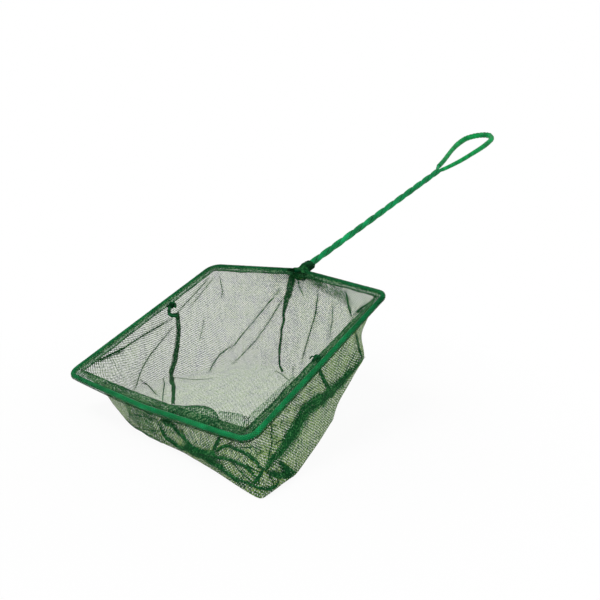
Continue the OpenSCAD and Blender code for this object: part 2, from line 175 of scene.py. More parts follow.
def finishPiece(piece, material, replaced=()):
    dress(piece, material)
    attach(piece, "root")
    if replaced:
        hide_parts(*replaced)


def selectOnly(*pieces):
    bpy.ops.object.select_all(action="DESELECT")
    for piece in pieces:
        piece.select_set(True)
    bpy.context.view_layer.objects.active = pieces[0]


def smoothed(name):  # the active object, under its name and flat only across sharp edges
    piece = bpy.context.view_layer.objects.active
    piece.name = piece.data.name = name
    bpy.ops.object.shade_smooth_by_angle(angle=radians(50))
    return piece


def threadTube(name, paths, radius, sides, radii=None):  # one round tube along each path
    curve = bpy.data.curves.new(name, "CURVE")
    curve.dimensions = "3D"
    curve.bevel_depth = radius
    curve.bevel_resolution = max(0, sides // 2 - 2)
    curve.use_fill_caps = True
    for number, path in enumerate(paths):
        spline = curve.splines.new("POLY")
        spline.points.add(len(path) - 1)
        for k, p in enumerate(path):
            spline.points[k].co = (*p, 1)
            spline.points[k].radius = radii[number][k] if radii else 1
    selectOnly(newObject(name, curve))
    bpy.ops.object.convert(target="MESH")
    return smoothed(name)


def join(name, pieces):
    selectOnly(*pieces)
    bpy.ops.object.join()
    pieces[0].name = pieces[0].data.name = name
    return pieces[0]


def linear(hexColour):
    rgb = [int(hexColour[i:i + 2], 16) / 255 for i in (1, 3, 5)]
    return (*[c / 12.92 if c <= 0.04045 else ((c + 0.055) / 1.055) ** 2.4 for c in rgb], 1)


def addNode(tree, kind, inputs=None, **settings):  # an input is a value, an output, or a node for its first output
    node = tree.nodes.new("ShaderNode" + kind)
    for key, value in settings.items():
        setattr(node, key, value)
    for key, value in (inputs or {}).items():
        if isinstance(value, bpy.types.Node):
            value = value.outputs[0]
        if isinstance(value, bpy.types.NodeSocket):
            tree.links.new(value, node.inputs[key])
        else:
            node.inputs[key].default_value = value
    return node


def mathNode(tree, operation, *inputs, **settings):
    return addNode(tree, "Math", dict(enumerate(inputs)), operation=operation, **settings)


def noiseNode(tree, where, scale, detail):
    return addNode(tree, "TexNoise", {"Scale": scale, "Detail": detail, "Vector": where})


def rangeNode(tree, value, least, most, low, high, **settings):  # least to most become low to high
    return addNode(tree, "MapRange", {
        "Value": value, "From Min": least, "From Max": most, "To Min": low, "To Max": high,
    }, **settings)


def objectPlace(tree):
    return addNode(tree, "TexCoord").outputs["Object"]


def newMaterial(name, shaderNodes, *settings):
    material = bpy.data.materials.new(name)
    material.use_nodes = True
    material.node_tree.nodes.clear()
    addNode(material.node_tree, "OutputMaterial", {"Surface": shaderNodes(material.node_tree, *settings)})
    return material


def colourRamp(tree, source, look, **tones):  # where each of the look's tones lies on the ramp
    ramp = addNode(tree, "ValToRGB", {"Fac": source})
    elements, stops = ramp.color_ramp.elements, list(tones.items())
    for end in (0, -1):
        elements[end].position, elements[end].color = stops[end][1], linear(look[stops[end][0]])
    for tone, position in stops[1:-1]:
        elements.new(position).color = linear(look[tone])
    return ramp


# Plasticised PVC, dip coated: a glossy skin with slow runs in its thickness and small pits
# the deep tone is painted shade, reached only in the groove between the handle's two wires
coatLook = {
    "light": "#06A862", "mid": "#008A4C", "dark": "#006E3C", "deep": "#003C20",
    "roughness": 0.3, "run": 9.0, "grain": 0.5,
}


def coatShader(tree, look):
    where = objectPlace(tree)
    tint = noiseNode(tree, where, 1000 / look["run"], 3.0)
    # painted shade where the two wires meet: the colour is drawn darker in the groove between them
    groove = addNode(tree, "Attribute", attribute_name="groove").outputs["Fac"]
    shaded = mathNode(tree, "MULTIPLY_ADD", groove, -0.4, tint)
    grain = noiseNode(tree, where, 1000 / look["grain"], 2.0)
    height = mathNode(tree, "ADD", tint, mathNode(tree, "MULTIPLY", grain, 0.25))
    return addNode(tree, "BsdfPrincipled", {
        "IOR": 1.53, "Specular IOR Level": 0.14,
        "Base Color": colourRamp(tree, shaded, look, deep=0.0, dark=0.3, mid=0.5, light=0.72),
        "Normal": addNode(tree, "Bump", {"Strength": 0.35, "Distance": 0.0003, "Height": height}),
        "Roughness": rangeNode(tree, tint, 0, 1, look["roughness"] - 0.06, look["roughness"] + 0.12),
    })


# Knotless nylon net: square holes between thin dull threads, laid out on the cloth's own plan, in millimetres.
# The holes are drawn a little finer than the real ones, which are about 1.25 mm apart.
# Where the cloth is bunched the threads crowd together, which an attribute of the mesh says; there they are also
# painted darker, as painted shade in bunched and folded cloth
netLook = {
    "pitch": 0.98, "turn": 45, "light": "#80A04E", "mid": "#4A7630", "dark": "#174E28", "streak": 0.1, "fleck": 0.2,
}


def netShader(tree, look, thread, gathered, soft=0.13):  # thread widths as shares of the pitch, open and gathered
    plan = addNode(tree, "UVMap", uv_map="clothPlan")
    turned = addNode(tree, "Mapping", {
        "Vector": plan, "Rotation": (0, 0, radians(look["turn"])), "Scale": [1 / look["pitch"]] * 3,
    })
    wander = noiseNode(tree, turned, 0.3, 2.0).outputs["Color"]
    moved = addNode(tree, "VectorMath", {0: wander, 1: (0.9, 0.9, 0.0), 2: turned}, operation="MULTIPLY_ADD")
    axes = addNode(tree, "SeparateXYZ", {0: moved})
    stretched = addNode(tree, "Mapping", {"Vector": plan, "Scale": (0.3, 0.05, 1)})
    streak = rangeNode(tree, noiseNode(tree, stretched, 1.0, 3.0), 0.3, 0.7, -look["streak"], look["streak"])
    fleck = rangeNode(tree, noiseNode(tree, turned, 0.8, 1.0), 0.35, 0.65, -look["fleck"], look["fleck"])
    gatherAndShade = addNode(tree, "Attribute", attribute_name="gatherAndShade").outputs["Fac"]
    crowd = mathNode(tree, "ADD", gatherAndShade, mathNode(tree, "SUBTRACT", streak, fleck), use_clamp=True)
    low = rangeNode(tree, crowd, 0, 1, thread / 2 - soft, gathered / 2 - soft)
    high = mathNode(tree, "ADD", low, soft * 2)
    masks = [rangeNode(tree, mathNode(tree, "PINGPONG", axis, 0.5), low, high, 1, 0, interpolation_type="SMOOTHSTEP")
             for axis in axes.outputs[:2]]
    spotted = mathNode(tree, "ADD", noiseNode(tree, turned, 0.12, 4.0), fleck)
    # painted shade: the threads are drawn darker where they crowd, over their random spots
    deeper = mathNode(tree, "MULTIPLY_ADD", crowd, -0.3, spotted)
    crossing = mathNode(tree, "MULTIPLY", *masks)
    return addNode(tree, "BsdfPrincipled", {
        "IOR": 1.53, "Roughness": 0.7, "Specular IOR Level": 0.06, "Alpha": mathNode(tree, "MAXIMUM", *masks),
        "Base Color": colourRamp(tree, deeper, look, dark=0.12, mid=0.36, light=0.62),
        "Normal": addNode(tree, "Bump", {"Strength": 0.6, "Distance": 0.0002, "Height": crossing}),
    })


# Spun polyester sewing thread: two dull dark plies with the lay of the twist
threadLook = {"light": "#1E663C", "mid": "#0E4A26", "dark": "#06341A", "ply": 0.9, "roughness": 0.7}


def threadShader(tree, look):
    where = objectPlace(tree)
    plies = addNode(tree, "TexWave", {
        "Scale": 1000 / look["ply"] / 20, "Distortion": 3.0, "Detail": 1.0, "Vector": where,
    }, bands_direction="DIAGONAL").outputs["Fac"]
    both = mathNode(tree, "MULTIPLY", plies, noiseNode(tree, where, 350.0, 3.0))
    return addNode(tree, "BsdfPrincipled", {
        "Roughness": look["roughness"], "Specular IOR Level": 0.08,
        "Base Color": colourRamp(tree, both, look, dark=0.05, mid=0.3, light=0.7),
        "Normal": addNode(tree, "Bump", {"Strength": 0.5, "Distance": 0.0001, "Height": plies}),
    })


# Drawn mild steel, bright, with fine marks of the die
def steelShader(tree):
    marks = noiseNode(tree, objectPlace(tree), 900.0, 2.0)
    return addNode(tree, "BsdfPrincipled", {
        "Base Color": linear("#B9BABD"), "Metallic": 1.0,
        "Roughness": rangeNode(tree, marks, 0, 1, 0.25, 0.5),
    })


dipCoat = newMaterial("dippedPvcCoat", coatShader, coatLook)
sleeveLook = {**coatLook, "light": "#08AE58", "mid": "#009048", "dark": "#007038", "run": 5.0}
sleeveVinyl = newMaterial("softVinylSleeve", coatShader, sleeveLook)
bagNet = newMaterial("knotlessNylonNet", netShader, netLook, 0.29, 0.74, 0.11)
hemLook = {**netLook, "light": "#6A9466", "mid": "#28663A", "dark": "#0C4624", "fleck": 0.3}
hemNet = newMaterial("hemNylonNet", netShader, hemLook, 0.22, 0.84)
# pulled tight over the coat, so that it shows through
wrapLook = {**netLook, "light": "#2E7640", "mid": "#165C30", "dark": "#0A4420", "fleck": 0.04}
wrapNet = newMaterial("stretchedNylonNet", netShader, wrapLook, 0.06, 0.5)
# the same net in darker tones, for folds, seams and the throat: a second layer, with painted shade inside the folds
shadedPleatLook = {**netLook, "light": "#46884C", "mid": "#1A622F", "dark": "#0A4420", "fleck": 0.22}
shadedPleatNet = newMaterial("shadedPleatedNylonNet", netShader, shadedPleatLook, 0.05, 0.93)
sewingThread = newMaterial("spunPolyesterThread", threadShader, threadLook)
steel = newMaterial("drawnSteel", steelShader)

# ---- the camera stands where the photograph was taken
lens = {"at": (-344.4, -267.7, 86.2), "azimuth": 37.9, "pitch": -13.77, "focal": 641.0, "frame": 600.0, "sensor": 36}
camera = newObject("camera", bpy.data.cameras.new("camera"))
azimuth, pitch = radians(lens["azimuth"]), radians(lens["pitch"])
sight = Vector((cos(pitch) * cos(azimuth), cos(pitch) * sin(azimuth), sin(pitch)))
camera.location = onTable(lens["at"])
camera.rotation_euler = sight.to_track_quat("-Z", "Y").to_euler()
camera.data.sensor_width = lens["sensor"]
camera.data.lens = lens["sensor"] * lens["focal"] / lens["frame"]
camera.data.clip_start = 0.01
scene.camera = camera
rightward = sight.cross(Vector((0, 0, 1))).normalized()
upward = rightward.cross(sight)


def sightLine(x, y):  # the ray through a point of the 600 x 600 picture
    half = lens["frame"] / 2
    return (sight + rightward * (x - half) / lens["focal"] - upward * (y - half) / lens["focal"]).normalized()


def onRim(x, y, lift):  # where that ray meets the rim's plane, or one a little above it: plan, then place
    ray = sightLine(x, y)
    start = Vector(lens["at"])
    away = Vector((-sin(lean), 0, cos(lean)))
    hit = start + ray * (lift - start.dot(away)) / ray.dot(away)
    plan = Vector((hit.x * cos(lean) + hit.z * sin(lean), hit.y))
    return plan, place(plan.x, plan.y, lift)


# ---- wire, coat and sleeve
leads = [rimCorners[end] + alongHandle * handle["lead"] for end in (0, 6)]
rimRoute = roundedLine([leads[0], *rimCorners, leads[1]], [rim["throatRadius"], *cornerRadii, rim["throatRadius"]])
rimCoat = threadTube("rimCoat", [[place(p.x, p.y) for p, n in rimRoute]], handle["coat"] / 2000, 20)
finishPiece(rimCoat, dipCoat, ["rim_coat"])


def twistedCoat():  # the outline round both wires, screwed along the handle
    size = {
        "points": 60, "stepsPerTurn": 44, "grooveAngle": 15, "lump": 0.05, "grooveShadeFrom": 1.9, "grooveShadeDepth": 0.22,
    }
    bpy.ops.mesh.primitive_circle_add(vertices=size["points"], radius=1)
    outline = bpy.context.view_layer.objects.active
    c, r = handle["lobeOut"], handle["lobe"] / 2
    for vert in outline.data.vertices:
        a = atan2(vert.co.y, vert.co.x)
        reach = c * abs(cos(a)) + sqrt(r * r - (c * sin(a)) ** 2)
        off = degrees(asin(min(1.0, abs(cos(a))))) / size["grooveAngle"]
        reach -= handle["groove"] * exp(-off * off)
        vert.co = (0, reach * cos(a), reach * sin(a))
    screw = outline.modifiers.new("twist", "SCREW")
    screw.axis = "X"
    screw.angle = -2 * pi * handle["turns"]
    screw.screw_offset = twistLength
    screw.steps = screw.render_steps = round(handle["turns"] * size["stepsPerTurn"])
    selectOnly(outline)
    bpy.ops.object.modifier_apply(modifier="twist")
    # painted shade in the groove between the two wires: how far inside the outline each point lies
    shade = outline.data.attributes.new("groove", "FLOAT", "POINT").data
    for vert in outline.data.vertices:
        u, v, w = vert.co
        shade[vert.index].value = clamped((size["grooveShadeFrom"] - hypot(v, w)) / size["grooveShadeDepth"])
        swell = 1 + size["lump"] * wobble(u * 0.11, v * 0.3, w * 0.3)
        vert.co = onHandle(u + handle["lead"], v * swell, w * swell)
    bpy.ops.object.mode_set(mode="EDIT")
    bpy.ops.mesh.select_all(action="SELECT")
    bpy.ops.mesh.remove_doubles(threshold=0.00001)
    bpy.ops.mesh.select_all(action="DESELECT")
    bpy.ops.mesh.select_non_manifold()
    bpy.ops.mesh.edge_face_add()
    bpy.ops.mesh.select_all(action="SELECT")
    bpy.ops.mesh.normals_make_consistent(inside=False)
    bpy.ops.object.mode_set(mode="OBJECT")
    return smoothed("handleCoat")


finishPiece(twistedCoat(), dipCoat, ["handle_coat"])

loop = {
    "corners": [
        (0, -0.95), (6.40, -3.60), (21.98, -7.71), (56.01, -11.21), (75.03, -9.59), (82.98, -0.50), (80.61, 9.49),
        (72.49, 16.30), (57.97, 16.40), (42.97, 13.49), (20.01, 7.21), (6.89, 4.69), (0, 0.95),
    ],
    "radii": [20, 100, 90, 15.6, 9, 13.8, 13.8, 60, 120, 100, 9],
    "sleeve": 4.0, "sleeveStart": 3.0, "sleeveEnd": 9.84, "sleeveSteps": 110, "thin": 0.2, "thinTo": 45,
    "tipFrom": 44, "tipTo": 60, "widen": 0.2, "bump": 0.08, "bumpEvery": 3.1,
}
loopRoot = handle["lead"] + twistLength
loopRoute = roundedLine(loop["corners"], loop["radii"], 5.0, 1.5)
loopCoat = threadTube("loopCoat", [[onHandle(loopRoot + p.x, p.y) for p, n in loopRoute]], handle["coat"] / 2000, 20)
finishPiece(loopCoat, dipCoat, ["loop_coat"])

travelled = lengths([p for p, n in loopRoute])
sleeveRoute, sleeveRadii = [], []
for k in range(loop["sleeveSteps"] + 1):
    s = loop["sleeveStart"] + (travelled[-1] - loop["sleeveEnd"] - loop["sleeveStart"]) * k / loop["sleeveSteps"]
    p = along([q for q, n in loopRoute], travelled, s)
    inTip = clamped((p.x - loop["tipFrom"]) / (loop["tipTo"] - loop["tipFrom"])) * (1.0 if p.y > -4 else 0.4)
    ripple = loop["bump"] * sin(2 * pi * s / loop["bumpEvery"] + 1.5 * wobble(s * 0.2, 0, 0))
    sleeveRoute.append(onHandle(loopRoot + p.x, p.y))
    drawnThin = loop["thin"] * max(0.0, 1 - s / loop["thinTo"])
    sleeveRadii.append(1 - drawnThin + inTip * (loop["widen"] + ripple) + 0.05 * wobble(s * 0.15, 3, 0))
loopSleeve = threadTube("loopSleeve", [sleeveRoute], loop["sleeve"] / 2000, 20, [sleeveRadii])
finishPiece(loopSleeve, sleeveVinyl, ["loop_sleeve"])
for name in ("rim_wire", "handle_wire_left", "handle_wire_right", "loop_wire"):
    dress(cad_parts[name], steel)

# ---- the hem: one layer of net wrapped round the coated wire, its two sides sewn together inside the rim
ringCorners = [Vector((0, 0)), *rimCorners[1:6]]
topLine = roundedLine([*ringCorners, ringCorners[0]], cornerRadii, 4.0, 1.5)
topTravel = lengths([p for p, n in topLine])
topTotal = topTravel[-1]


def nearestTravel(q):
    return min(zip(topLine, topTravel), key=lambda item: (item[0][0] - q).length)[1]


cornerTravel = [nearestTravel(c) for c in ringCorners] + [topTotal]


# values at the throat, left back, left front, bow, right front and right back, eased between
def ringValue(values, s):
    k = max(i for i in range(6) if cornerTravel[i] <= max(s, 0))
    share = min(1.0, (s - cornerTravel[k]) / (cornerTravel[k + 1] - cornerTravel[k]))
    share = share * share * (3 - 2 * share)
    return values[k] + (values[(k + 1) % 6] - values[k]) * share


def throatBunch(s, reach):  # the cloth is drawn together towards the throat
    return exp(-(min(s, topTotal - s) / reach) ** 2)


hem = {
    "wrap": 1.62, "stitch": 2.1, "thread": 0.11, "ruffle": 0.35, "stop": 2.8,
    "edge": [5.8, 6.6, 6.7, 7.2, 7.0, 5.0], "band": [0.55, 0.3, 0.22, 0.33, 0.36, 0.46],
    "cover": [1.0, 0.8, 0.45, 0.15, 0.2, 0.5], "slack": [0, 0.1, 0.7, 1.2, 0.9, 0.3],
    "sewn": 0.7, "wrapRows": 15, "wrapFaces": (4, 19),
}
stops = [rimCorners[i] + (rimCorners[j] - rimCorners[i]).normalized() * hem["stop"] for i, j in ((0, 1), (6, 5))]
hemLine = roundedLine([stops[0], *rimCorners[1:6], stops[1]], cornerRadii, 4.0, 1.6)
hemTravel = [s + hem["stop"] for s in lengths([p for p, n in hemLine])]
hemTight = []  # how far in the cloth may reach before the sides of a corner meet
for i in range(len(hemLine)):
    (p, n), (q, m) = hemLine[max(i - 1, 0)], hemLine[min(i + 1, len(hemLine) - 1)]
    turn = n.angle(m, 0.0)
    hemTight.append((q - p).length / turn * 0.93 if turn > 0.02 else 99)


def hemWave(s, k):
    return wobble(s * 0.09, k * 1.7, 0.4)


def underside(k):  # the wrap hangs a little slack and bunched under the wire, where it is also painted darker as painted shade
    return exp(-((k - 3.6) / 2.2) ** 2)


def hemSection(s):  # (inward, up) from the lower inner edge, round the wire, to the upper inner edge
    edge = ringValue(hem["edge"], s) + 0.5 * hemWave(s, 1) + 0.15 * wobble(s * 0.6, 3, 0)
    lift = hem["ruffle"] * hemWave(s, 2) * 2
    sewn = edge - hem["sewn"]
    points = [
        (edge, -0.22 + lift), (sewn, -0.2 + lift * 0.9), (4.1, -0.42 + lift * 0.6), (3.0, -0.78 + lift * 0.3),
        (2.1, -1.12),
    ]
    for k in range(hem["wrapRows"]):
        a = radians(-48 - k * 264 / (hem["wrapRows"] - 1))
        r = hem["wrap"] + 0.1 * wobble(s * 0.35, k * 0.6, 7) + ringValue(hem["slack"], s) * underside(k)
        points.append((r * cos(a), r * sin(a)))
    return points + [
        (2.1, 1.12), (3.0, 0.8 + lift * 0.3), (4.1, 0.46 + lift * 0.6), (sewn, 0.2 + lift * 0.9), (edge, 0.2 + lift),
    ]


def sweptHem():
    verts, gathersAndShade, rows = [], [], []
    for (p, n), s, tight in zip(hemLine, hemTravel, hemTight):
        points = [(min(a, tight), z) for a, z in hemSection(s)]
        rows.append(lengths([Vector(q) for q in points]))
        verts += [place(p.x + n.x * a, p.y + n.y * a, z) for a, z in points]
        drawn = throatBunch(s, 16)
        band, cover = ringValue(hem["band"], s) + 0.5 * drawn, ringValue(hem["cover"], s) + drawn
        edges = {0: 0.35, 1: 0.45, 4: 0.4, 20: 0.4, 23: 0.45, 24: 0.35}  # bunched at the sewn edge; against the wire, partly bunched cloth and partly painted shade in the crease between band and coat
        # the wrap is drawn darker under the wire: painted shade there, over its slack
        gathersAndShade += [band + edges.get(k, 0) + 0.3 * wobble(s * 0.14, a * 0.5, 2) if a > 1.9
                    else cover + 0.75 * underside(k - 5) for k, (a, z) in enumerate(points)]
    steps = len(rows[0]) - 1
    faces, uvs = gridFaces(len(hemLine) - 1, steps, lambda a, b, row: (hemTravel[a], rows[a][b]), alongFirst)
    piece = newPiece("hemCloth", verts, faces, uvs, gathersAndShade)
    finishPiece(piece, hemNet, ["front_hem", "back_left_hem", "back_right_hem"])
    piece.data.materials.append(wrapNet)
    for face in piece.data.polygons:
        face.material_index = int(hem["wrapFaces"][0] <= face.index % steps <= hem["wrapFaces"][1])
    return piece


hemCloth = sweptHem()

# ---- the bag: walls lofted from the hem to the foot on the table, and the bottom
feet = [  # corner, share of the way to the next, and the foot on the table
    (0, 0.09, 0, 18.75), (0, 0.5, -5.4, 39), (1, 0, -16.2, 57), (1, 0.19, -37.8, 63), (1, 0.38, -60.75, 70.5),
    (1, 0.69, -86.4, 72), (2, 0, -113.4, 69), (2, 0.33, -126.6, 34.5), (2, 0.75, -132.8, 6), (3, 0.25, -133.6, -24),
    (3, 0.67, -137.4, -51.8), (4, 0, -144.1, -88.4), (4, 0.24, -112.5, -85.8), (4, 0.48, -78.3, -74.2),
    (4, 0.76, -48.6, -63), (5, 0, -28.4, -49.5), (5, 0.5, -12.2, -25.5), (5, 0.92, -4.1, -1.5),
]
bag = {
    "columns": 300, "wallRows": 40, "floorRows": 24, "top": 4.6, "leftSeam": 4, "rightSeam": 13, "narrowed": 1.3,
    "bulge": [2.0, 3.0, -2.4, 3.6, 3.2, 0.0], "gatherAndShade": [0.16, 0.08, 0.17, 0.28, 0.27, 0.22],
    "drawnOut": [0.96, 1, 0.94, 0.87, 0.86, 0.9], "drawnUp": 2.6, "offTable": 0.3,
    # height, pace round the rim, pace down the wall, seed, how soon it dies out, how blunt: gathers that run
    # down from the hem, slower waves across the whole wall, and fine ones
    "waves": [(1.1, 0.075, 0.012, 2, 1.25, 1), (1.7, 0.028, 0.03, 9, 1, 1), (0.45, 0.2, 0.05, 5, 1, 0.5)],
}
columns = bag["columns"]
middle = Vector((-68, -2))


def columnTravel(k):
    return topTotal * (k % columns) / columns


def footTable():  # the foot all round, straight between the stations and then eased
    points = [Vector((x, y)) for c, share, x, y in feet]
    travel = [nearestTravel(ringCorners[c].lerp(ringCorners[(c + 1) % 6], share)) for c, share, x, y in feet]
    seams = [round(travel[bag[key]] / topTotal * columns) for key in ("leftSeam", "rightSeam")]
    points, travel = points + [points[0]], travel + [travel[0] + topTotal]
    raw = []
    for k in range(columns):
        s = columnTravel(k)
        raw.append(along(points, travel, s if s >= travel[0] else s + topTotal))
    for turn in range(2):
        raw = [(raw[k - 1] + raw[k] * 2 + raw[(k + 1) % columns]) / 4 for k in range(columns)]
    return raw, seams


topPlan = [along([p for p, n in topLine], topTravel, columnTravel(k)) for k in range(columns)]
topNormal = [along([n for p, n in topLine], topTravel, columnTravel(k)).normalized() for k in range(columns)]
footPlan, seamColumns = footTable()


def wallTop(k):
    s = columnTravel(k)
    p = topPlan[k] + topNormal[k] * (bag["top"] - bag["drawnUp"] * throatBunch(s, 14))
    return leaned(p.x, p.y, hem["ruffle"] * hemWave(s, 2) * 1.6 - 0.3)


def wallPoint(k, share):
    k %= columns
    top = wallTop(k)
    foot = Vector((*footPlan[k], tableHeight + bag["offTable"]))
    out = Vector((*(footPlan[k] - middle).normalized(), 0))
    s = columnTravel(k)
    depth = (top - foot).length
    push = ringValue(bag["bulge"], s) * sin(pi * share)
    for height, pace, fall, seed, ends, blunt in bag["waves"]:
        push += height * wobble(s * pace, share * depth * fall, seed) * sin(pi * min(1, share * ends)) ** blunt
    return top.lerp(foot, share) + out * push


def floorPoint(k, share, first, count):  # from the foot to the fold across the bottom, lying on the table
    foot = wallPoint(k % columns, 1.0)
    way = (k - first) / count
    ends = [footPlan[c].lerp(middle, 0.085) for c in seamColumns]
    fold = ends[0].lerp(ends[1], way if first == seamColumns[0] else 1 - way)
    p = Vector((foot.x, foot.y)).lerp(fold, share)
    ripple = 0.5 + 0.9 * wobble(p.x * 0.06, p.y * 0.05, 3.0) + 0.35 * wobble(p.x * 0.2, p.y * 0.15, 1.0)
    raised = max(0.0, ripple) * sin(pi * min(1.0, share * 1.6 + 0.02)) ** 0.5
    return Vector((*p, tableHeight + bag["offTable"] + raised))


# distance along the wall at half its height, so that the net keeps its pitch, and less where it is drawn out wider
drawnOut = [ringValue(bag["drawnOut"], columnTravel(k)) for k in range(columns * 2 + 1)]
ringAcross = [0.0]
for k in range(columns * 2):
    ringAcross.append(ringAcross[-1] + (wallPoint(k + 1, 0.4) - wallPoint(k, 0.4)).length * drawnOut[k])


def bagPanel(name, first, last):
    count = last - first
    grid, gathersAndShade = [], []
    for k in range(first, last + 1):
        column = [wallPoint(k, j / bag["wallRows"]) for j in range(bag["wallRows"] + 1)]
        column += [floorPoint(k, (j + 1) / bag["floorRows"], first, count) for j in range(bag["floorRows"])]
        grid.append(column)
        loose = ringValue(bag["gatherAndShade"], columnTravel(k))
        drawn = 0.6 * throatBunch(columnTravel(k), 22)
        gathersAndShade += [loose + drawn * exp(-j * 0.22) for j in range(bag["wallRows"] + 1)]
        gathersAndShade += [0.12 + (loose - 0.12) * max(0.0, 1 - j / 6) for j in range(1, bag["floorRows"] + 1)]
    depths = [lengths(column) for column in grid]

    def plan(a, b, row):
        if row < bag["wallRows"]:
            return ringAcross[first + a], depths[a][b] * drawnOut[first + a]
        return grid[a][b].y * bag["narrowed"], grid[a][b].x

    faces, uvs = gridFaces(count, bag["wallRows"] + bag["floorRows"], plan, acrossFirst)
    return newPiece(name, [onTable(p) for column in grid for p in column], faces, uvs, gathersAndShade)


frontPanel = bagPanel("frontPanel", seamColumns[0], seamColumns[1])
backPanel = bagPanel("backPanel", seamColumns[1], columns + seamColumns[0])
panels = (frontPanel, backPanel)
finishPiece(frontPanel, bagNet, ["front_panel"])
finishPiece(backPanel, bagNet, ["back_panel"])


# ---- folds, creases and seams lie on the cloth where the picture shows them
def clothTree():
    verts, faces = [], []
    for piece in panels:
        base = len(verts)
        verts += [v.co.copy() for v in piece.data.vertices]
        faces += [[base + v for v in p.vertices] for p in piece.data.polygons]
    return BVHTree.FromPolygons(verts, faces)


cloth = clothTree()


def onCloth(pixels, spacing=1.4):  # points and normals where the rays of a drawn line meet the cloth
    start, found = camera.location, []
    corners = list(zip(pixels[::2], pixels[1::2]))
    for (x0, y0), (x1, y1) in zip(corners, corners[1:]):
        steps = max(1, round(hypot(x1 - x0, y1 - y0) / spacing))
        for k in range(steps + 1):
            ray = sightLine(x0 + (x1 - x0) * k / steps, y0 + (y1 - y0) * k / steps)
            hit, normal, face, distance = cloth.ray_cast(start, ray)
            if hit and (not found or 0.0002 < (hit - found[-1][0]).length < 0.03):
                found.append((hit, normal if normal.dot(hit - start) < 0 else -normal))
    for turn in range(2):
        if len(found) > 3:
            found = [found[0]] + [
                ((a[0] + b[0] * 2 + c[0]) / 4, (a[1] + b[1] * 2 + c[1]).normalized())
                for a, b, c in zip(found, found[1:], found[2:])
            ] + [found[-1]]
    return found


# a pleat: a second layer, bunched at its middle, where it is also painted darker as painted shade in the fold
def strip(name, pixels, width, height, dark, seed, count, ends=0.15, widths=(1, 1)):
    points = onCloth(pixels)
    travel = lengths([p for p, n in points])
    verts, gathersAndShade = [], []
    for i, ((p, n), s) in enumerate(zip(points, travel)):
        way = (points[min(i + 1, len(points) - 1)][0] - points[max(i - 1, 0)][0]).normalized()
        across = way.cross(n).normalized()
        share = s / travel[-1]
        w = width * 0.001 * (1 + 0.3 * wobble(s * 160, seed, 0))
        at = share * (len(widths) - 1)
        w *= widths[int(at)] + (widths[min(int(at) + 1, len(widths) - 1)] - widths[int(at)]) * (at - int(at))
        fade = min(1.0, ends + 5 * share, ends + 5 * (1 - share))
        w *= 0.4 + 0.6 * fade
        shift = across * w * 0.25 * wobble(s * 110, seed, 5)
        for k in range(count):
            a = k / (count - 1) - 0.5
            bell = cos(pi * a)
            ply = 0.85 + 0.55 * wobble(s * 70, a * count * 0.55, seed)
            verts.append(p + shift + across * a * w + n * (0.00012 + max(0.0, bell) * height * 0.001 * ply))
            gathersAndShade.append(clamped(dark * fade * max(0.0, bell) ** 0.6 * (ply + 0.1)))
    faces, uvs = gridFaces(len(points) - 1, count - 1, lambda a, b, row: (
        travel[a] * 1000, (b / (count - 1) - 0.5) * width * 1.4), acrossFirst)
    return newPiece(name, verts, faces, uvs, gathersAndShade)
